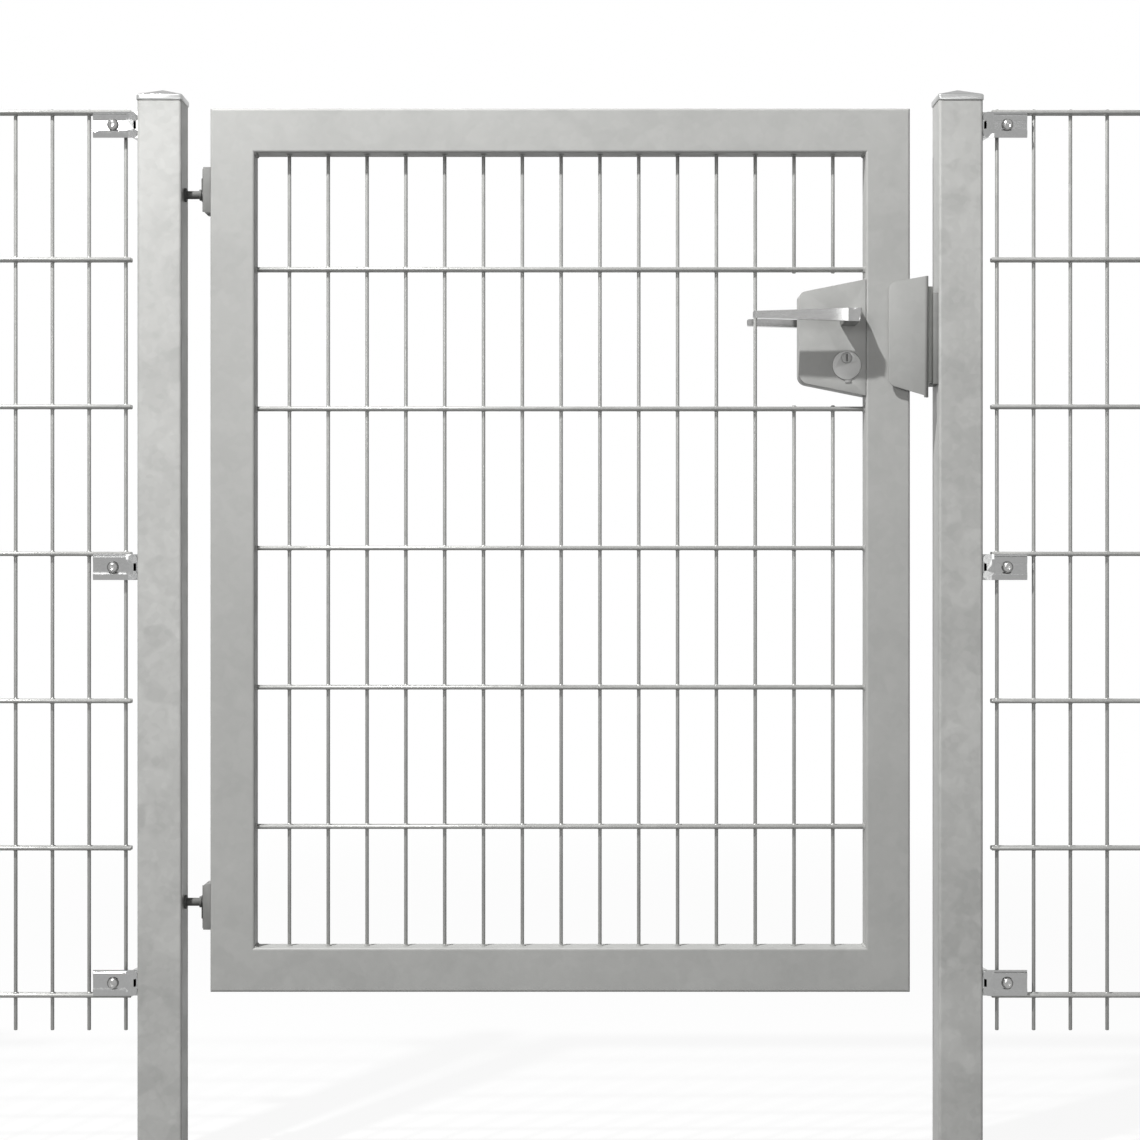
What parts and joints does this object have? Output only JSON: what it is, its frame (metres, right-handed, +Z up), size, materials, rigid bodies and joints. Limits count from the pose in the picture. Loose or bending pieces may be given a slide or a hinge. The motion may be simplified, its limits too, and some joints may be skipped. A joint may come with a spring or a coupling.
{
  "type": "swing fence gate",
  "caption": "Galvanised mesh-filled swing gate between square posts, with a lever lock, a stop hood on the lock post and a short bay of double-rod mesh fence on each side.",
  "frame": {"origin": "middle of the hinge post's foot face, at ground level", "axes": "+X along the fence from the hinge post to the lock post, +Y to the side the gate opens to, away from the stop hood, +Z up"},
  "size_m": [2.348, 0.124, 1.468],
  "materials": {
    "galvanised_steel": "hot-dip galvanised, mottled",
    "zinc_fittings": "dull zinc",
    "cap_metal": "satin",
    "stainless_steel": "fine brushed",
    "dark_keeper": "satin"
  },
  "bodies": {
    "gateway": {"hinge_post": "galvanised_steel", "lock_post": "galvanised_steel", "left_end_post": "galvanised_steel", "right_end_post": "galvanised_steel", "hinge_post_cap": "cap_metal", "lock_post_cap": "cap_metal", "left_end_post_cap": "cap_metal", "right_end_post_cap": "cap_metal", "left_mat": "galvanised_steel", "right_mat": "galvanised_steel", "hinge_post_clamps": "zinc_fittings", "lock_post_clamps": "zinc_fittings", "left_end_post_clamps": "zinc_fittings", "right_end_post_clamps": "zinc_fittings", "hinge_post_clamp_bolts": "stainless_steel", "lock_post_clamp_bolts": "stainless_steel", "left_end_post_clamp_bolts": "stainless_steel", "right_end_post_clamp_bolts": "stainless_steel", "upper_hinge_bolt": "zinc_fittings", "lower_hinge_bolt": "zinc_fittings", "upper_hinge_bush": "zinc_fittings", "lower_hinge_bush": "zinc_fittings", "keeper_base": "zinc_fittings", "keeper_body": "dark_keeper", "stop_hood": "galvanised_steel"},
    "leaf": {"hinge_stile": "galvanised_steel", "lock_stile": "galvanised_steel", "top_rail": "galvanised_steel", "bottom_rail": "galvanised_steel", "leaf_infill": "galvanised_steel", "upper_hinge_housing": "galvanised_steel", "lower_hinge_housing": "galvanised_steel", "upper_hinge_pin": "zinc_fittings", "lower_hinge_pin": "zinc_fittings", "lock_case": "galvanised_steel", "lock_faceplate": "stainless_steel", "lock_cylinder": "stainless_steel", "front_rosette": "zinc_fittings", "back_rosette": "zinc_fittings"},
    "handle": {"front_lever": "stainless_steel", "back_lever": "stainless_steel", "spindle": "zinc_fittings"}
  },
  "joints": [
    {"name": "leaf_swing", "type": "hinge", "parent": "gateway", "child": "leaf", "pos_m": [0.0593, 0, 1.325], "axis": [0, 0, 1], "range_deg": [0, 90]},
    {"name": "handle_turn", "type": "hinge", "parent": "leaf", "child": "handle", "pos_m": [0.9315, 0, 1.156], "axis": [0, -1, 0], "range_deg": [0, 40], "stiffness_Nm_per_rad": 1, "springref_deg": -34.38}
  ]
}
